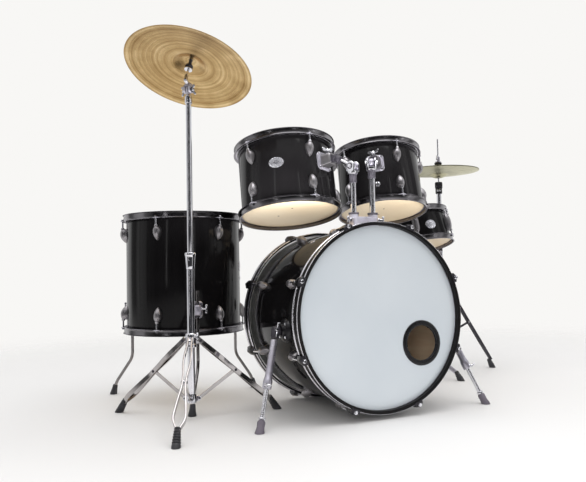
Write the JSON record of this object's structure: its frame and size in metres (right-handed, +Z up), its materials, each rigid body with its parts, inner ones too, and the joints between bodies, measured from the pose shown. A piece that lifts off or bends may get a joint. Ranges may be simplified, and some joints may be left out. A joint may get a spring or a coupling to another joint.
{
  "type": "acoustic drum kit",
  "caption": "Acoustic drum kit in gloss black: bass drum with ported front head, rack toms, floor tom, snare on a stand, crash cymbal on a tripod, hi-hats and pedals.",
  "frame": {"origin": "on the floor, under the centre of the kit's bounding box", "axes": "+Z up, +X to the right seen from the front of the bass drum, -Y towards the audience (the front head faces -Y)"},
  "size_m": [1.7072, 0.95, 1.1711],
  "materials": {
    "gloss_black": "gloss",
    "black_metal": "gloss",
    "gun_metal": "gloss",
    "chrome": "polished",
    "satin_steel": "satin",
    "coated_film": "matte",
    "clear_film": "gloss",
    "bronze": "brushed"
  },
  "bodies": {
    "root": {"bass_shell": "gloss_black", "bass_front_hoop": "black_metal", "bass_rear_hoop": "black_metal", "bass_front_head": "coated_film", "bass_rear_head": "coated_film", "port_ring": "black_metal", "tom_mount_base": "chrome", "floor_tom_shell": "gloss_black", "floor_tom_top_hoop": "gun_metal", "floor_tom_bottom_hoop": "gun_metal", "floor_tom_batter_head": "coated_film", "floor_tom_resonant_head": "clear_film", "snare_stand_base": "chrome", "crash_column": "chrome", "hihat_stand": "chrome", "hihat_bottom_cymbal": "bronze", "pedal_frame": "chrome"},
    "spur_sleeve_left": {"spur_tube_left": "satin_steel"},
    "spur_leg_left": {"spur_rod_left": "chrome"},
    "spur_sleeve_right": {"spur_tube_right": "satin_steel"},
    "spur_leg_right": {"spur_rod_right": "chrome"},
    "tom1_mount": {"tom1_post": "chrome"},
    "tom1": {"tom1_arm": "chrome", "tom1_shell": "gloss_black", "tom1_top_hoop": "gun_metal", "tom1_bottom_hoop": "gun_metal", "tom1_batter_head": "coated_film", "tom1_resonant_head": "clear_film"},
    "tom2_mount": {"tom2_post": "chrome"},
    "tom2": {"tom2_arm": "chrome", "tom2_shell": "gloss_black", "tom2_top_hoop": "gun_metal", "tom2_bottom_hoop": "gun_metal", "tom2_batter_head": "coated_film", "tom2_resonant_head": "clear_film"},
    "floor_leg_1": {"floor_tom_leg_1": "chrome"},
    "floor_leg_2": {"floor_tom_leg_2": "chrome"},
    "floor_leg_3": {"floor_tom_leg_3": "chrome"},
    "snare": {"snare_basket": "chrome", "snare_shell": "gloss_black", "snare_top_hoop": "gun_metal", "snare_bottom_hoop": "gun_metal", "snare_batter_head": "coated_film", "snare_resonant_head": "clear_film"},
    "snare_lever": {"snare_strainer_lever": "chrome"},
    "crown": {"crash_crown": "chrome"},
    "crash_mast": {"crash_upper_tube": "chrome"},
    "tilter": {"crash_tilter": "chrome"},
    "cymbal": {"crash_cymbal": "bronze"},
    "hat_rod": {"hihat_pull_rod": "chrome", "hihat_top_cymbal": "bronze"},
    "hat_pedal": {"hihat_footboard": "chrome"},
    "kick_board": {"pedal_footboard": "chrome"},
    "beater": {"pedal_beater": "chrome"},
    "leg_1": {"crash_leg_1": "chrome"},
    "brace_1": {"crash_brace_1": "chrome"},
    "leg_2": {"crash_leg_2": "chrome"},
    "brace_2": {"crash_brace_2": "chrome"},
    "leg_3": {"crash_leg_3": "chrome"},
    "brace_3": {"crash_brace_3": "chrome"}
  },
  "joints": [
    {"name": "spur_left_fold", "type": "hinge", "parent": "root", "child": "spur_sleeve_left", "pos_m": [-0.43808, -0.33033, 0.275], "axis": [-1, 0, 0], "range_deg": [0, 80]},
    {"name": "spur_left_length", "type": "slide", "parent": "spur_sleeve_left", "child": "spur_leg_left", "axis": [-0.3094, -0.3064, -0.9002], "range_m": [-0.05, 0.03]},
    {"name": "spur_right_fold", "type": "hinge", "parent": "root", "child": "spur_sleeve_right", "pos_m": [0.18592, -0.33033, 0.275], "axis": [-1, 0, 0], "range_deg": [0, 80]},
    {"name": "spur_right_length", "type": "slide", "parent": "spur_sleeve_right", "child": "spur_leg_right", "axis": [0.3094, -0.3064, -0.9002], "range_m": [-0.05, 0.03]},
    {"name": "tom1_swivel", "type": "hinge", "parent": "root", "child": "tom1_mount", "pos_m": [-0.16108, -0.33733, 0.7], "axis": [0, 0, 1], "range_deg": [-8, 20]},
    {"name": "tom1_tilt", "type": "hinge", "parent": "tom1_mount", "child": "tom1", "pos_m": [-0.16108, -0.33733, 0.79], "axis": [-0.9272, -0.3747, 0], "range_deg": [-15, 4]},
    {"name": "tom2_swivel", "type": "hinge", "parent": "root", "child": "tom2_mount", "pos_m": [-0.09008, -0.33733, 0.7], "axis": [0, 0, 1], "range_deg": [-20, 8]},
    {"name": "tom2_tilt", "type": "hinge", "parent": "tom2_mount", "child": "tom2", "pos_m": [-0.09008, -0.33733, 0.806], "axis": [-0.822, 0.5694, 0], "range_deg": [-15, 4]},
    {"name": "floor_leg_1_height", "type": "slide", "parent": "root", "child": "floor_leg_1", "axis": [0, 0, -1], "range_m": [-0.06, 0.06]},
    {"name": "floor_leg_2_height", "type": "slide", "parent": "root", "child": "floor_leg_2", "axis": [0, 0, -1], "range_m": [-0.06, 0.06]},
    {"name": "floor_leg_3_height", "type": "slide", "parent": "root", "child": "floor_leg_3", "axis": [0, 0, -1], "range_m": [-0.06, 0.06]},
    {"name": "snare_tilt", "type": "hinge", "parent": "root", "child": "snare", "pos_m": [0.39792, 0.18167, 0.462], "axis": [-0.947, -0.3213, 0], "range_deg": [-6, 6]},
    {"name": "snare_lever_turn", "type": "hinge", "parent": "snare", "child": "snare_lever", "pos_m": [0.36965, 0.37522, 0.57365], "axis": [0.9876, 0.1509, 0.0424], "range_deg": [0, 70]},
    {"name": "crash_crown_slide", "type": "slide", "parent": "root", "child": "crown", "axis": [0, 0, 1], "range_m": [0, 0.1]},
    {"name": "crash_leg_1_fold", "type": "hinge", "parent": "crown", "child": "leg_1", "pos_m": [-0.67138, -0.20895, 0.245], "axis": [0.915, -0.4035, 0], "range_deg": [0, 28.29]},
    {"name": "crash_brace_1_fold", "type": "hinge", "parent": "root", "child": "brace_1", "pos_m": [-0.66977, -0.20529, 0.068], "axis": [-0.915, 0.4035, 0], "range_deg": [0, 33.48]},
    {"name": "crash_leg_2_fold", "type": "hinge", "parent": "crown", "child": "leg_2", "pos_m": [-0.63224, -0.18031, 0.245], "axis": [-0.108, 0.9942, 0], "range_deg": [0, 28.29]},
    {"name": "crash_brace_2_fold", "type": "hinge", "parent": "root", "child": "brace_2", "pos_m": [-0.63622, -0.18074, 0.068], "axis": [0.108, -0.9942, 0], "range_deg": [0, 33.48]},
    {"name": "crash_leg_3_fold", "type": "hinge", "parent": "crown", "child": "leg_3", "pos_m": [-0.67662, -0.16073, 0.245], "axis": [-0.807, -0.5906, 0], "range_deg": [0, 28.29]},
    {"name": "crash_brace_3_fold", "type": "hinge", "parent": "root", "child": "brace_3", "pos_m": [-0.67426, -0.16396, 0.068], "axis": [0.807, 0.5906, 0], "range_deg": [0, 33.48]},
    {"name": "crash_height", "type": "slide", "parent": "root", "child": "crash_mast", "axis": [0, 0, 1], "range_m": [-0.1, 0.15]},
    {"name": "crash_tilt", "type": "hinge", "parent": "crash_mast", "child": "tilter", "pos_m": [-0.66008, -0.18333, 1.028], "axis": [-0.6021, 0.7984, 0], "range_deg": [-20, 20]},
    {"name": "crash_spin", "type": "hinge", "parent": "tilter", "child": "cymbal", "pos_m": [-0.66008, -0.18333, 1.093], "axis": [0.309, 0.233, 0.9221], "continuous": true},
    {"name": "hihat_open", "type": "slide", "parent": "root", "child": "hat_rod", "axis": [0, 0, 1], "range_m": [0, 0.026]},
    {"name": "hihat_pedal_press", "type": "hinge", "parent": "root", "child": "hat_pedal", "pos_m": [0.32342, 0.31839, 0.026], "axis": [-0.2588, -0.9659, 0], "range_deg": [0, 5.1]},
    {"name": "kick_press", "type": "hinge", "parent": "root", "child": "kick_board", "pos_m": [-0.12608, 0.26367, 0.024], "axis": [1, 0, 0], "range_deg": [0, 14], "stiffness_Nm_per_rad": 2, "springref_deg": -17.19},
    {"name": "beater_swing", "type": "hinge", "parent": "root", "child": "beater", "pos_m": [-0.12608, 0.07167, 0.165], "axis": [1, 0, 0], "range_deg": [0, 62.2]}
  ],
  "couplings": [
    {"joint": "crash_leg_1_fold", "follows": "crash_crown_slide", "rad_per_m": 4.886},
    {"joint": "crash_brace_1_fold", "follows": "crash_crown_slide", "rad_per_m": 5.7917},
    {"joint": "crash_leg_2_fold", "follows": "crash_crown_slide", "rad_per_m": 4.886},
    {"joint": "crash_brace_2_fold", "follows": "crash_crown_slide", "rad_per_m": 5.7917},
    {"joint": "crash_leg_3_fold", "follows": "crash_crown_slide", "rad_per_m": 4.886},
    {"joint": "crash_brace_3_fold", "follows": "crash_crown_slide", "rad_per_m": 5.7917},
    {"joint": "hihat_pedal_press", "follows": "hihat_open", "rad_per_m": 3.3333},
    {"joint": "beater_swing", "follows": "kick_press", "ratio": 4.4286}
  ]
}
